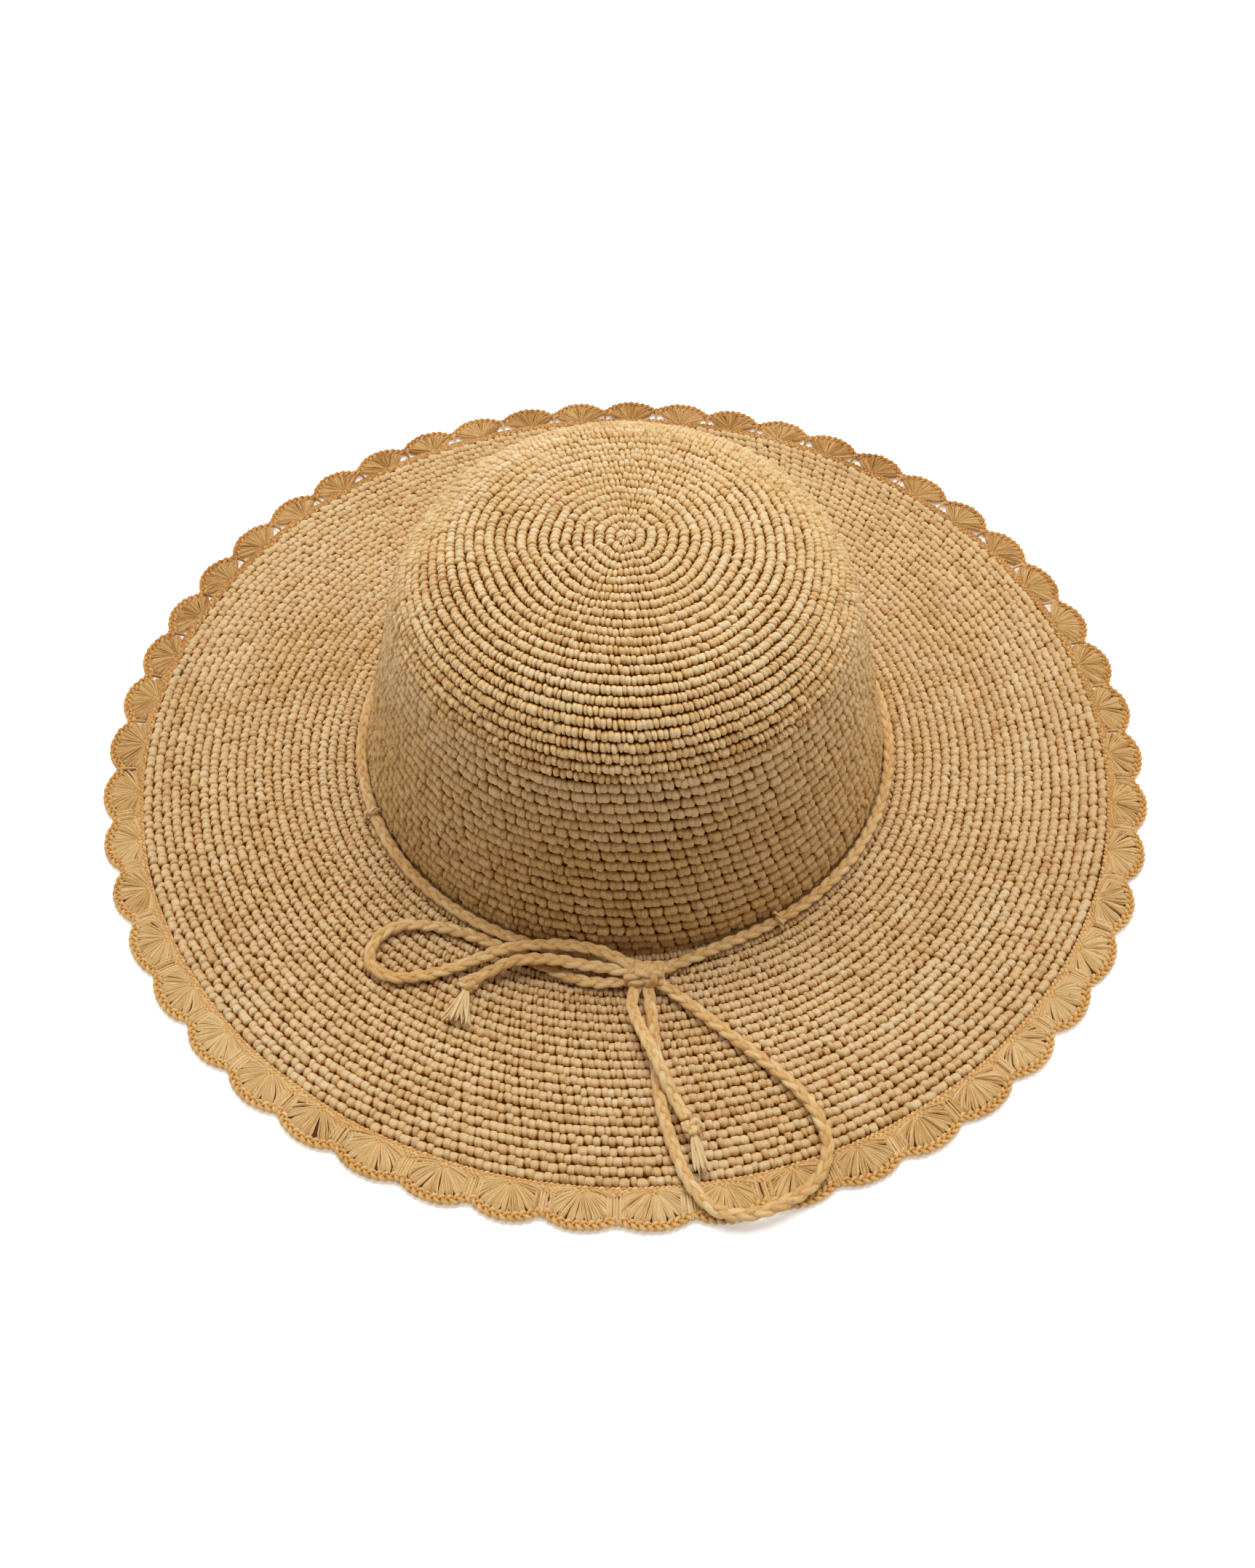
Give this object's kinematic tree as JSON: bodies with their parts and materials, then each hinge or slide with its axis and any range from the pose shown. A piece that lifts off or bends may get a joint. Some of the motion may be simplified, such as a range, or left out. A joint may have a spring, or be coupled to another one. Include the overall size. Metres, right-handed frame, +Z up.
{
  "type": "straw sun hat",
  "caption": "Crocheted raffia sun hat with a rounded crown, a wide flat brim edged with shells that turns up at the back, and a plaited cord tied in a bow.",
  "frame": {"origin": "middle of the head opening, on the plane that the brim lies on", "axes": "+Z up through the middle of the crown, -Y towards the front, where the bow is, +X towards the right of the view from the front"},
  "size_m": [0.3848, 0.3848, 0.1081],
  "materials": {
    "raffia_crown": "matt crocheted natural raffia, palest at the top",
    "raffia_brim": "matt crocheted natural raffia",
    "raffia_edging": "natural raffia, slightly more golden, faint sheen along the fibres",
    "raffia_cord": "plaited natural raffia, faint sheen along the fibres",
    "cotton_tape": "matt ribbed cotton tape",
    "sewing_thread": "matt cotton thread",
    "steel_wire": "satin",
    "ferrule_metal": "satin"
  },
  "bodies": {
    "hat": {"crown_tip": "raffia_crown", "crown_side": "raffia_crown", "brim": "raffia_brim", "shell_edging": "raffia_edging", "scallop_border": "raffia_edging", "brim_wire": "steel_wire", "wire_ferrule": "ferrule_metal", "sweatband": "cotton_tape", "sweatband_stitching": "sewing_thread", "cord_keepers": "raffia_cord"},
    "back_brim": {"brim_back": "raffia_brim", "shell_edging_back": "raffia_edging", "scallop_border_back": "raffia_edging", "brim_wire_back": "steel_wire"},
    "cord": {"hat_cord": "raffia_cord", "bow_knot": "raffia_cord", "left_loop": "raffia_cord", "right_loop": "raffia_cord", "left_tail": "raffia_cord", "right_tail": "raffia_cord", "left_end_knot": "raffia_cord", "right_end_knot": "raffia_cord", "left_tassel": "raffia_cord", "right_tassel": "raffia_cord"}
  },
  "joints": [
    {"name": "back_brim_turn_up", "type": "hinge", "parent": "hat", "child": "back_brim", "pos_m": [0, 0.11, 0.0032], "axis": [1, 0, 0], "range_deg": [0, 75]},
    {"name": "cord_slide_round", "type": "hinge", "parent": "hat", "child": "cord", "pos_m": [0, 0, 0.0054], "axis": [0, 0, 1], "range_deg": [-12, 12]}
  ]
}
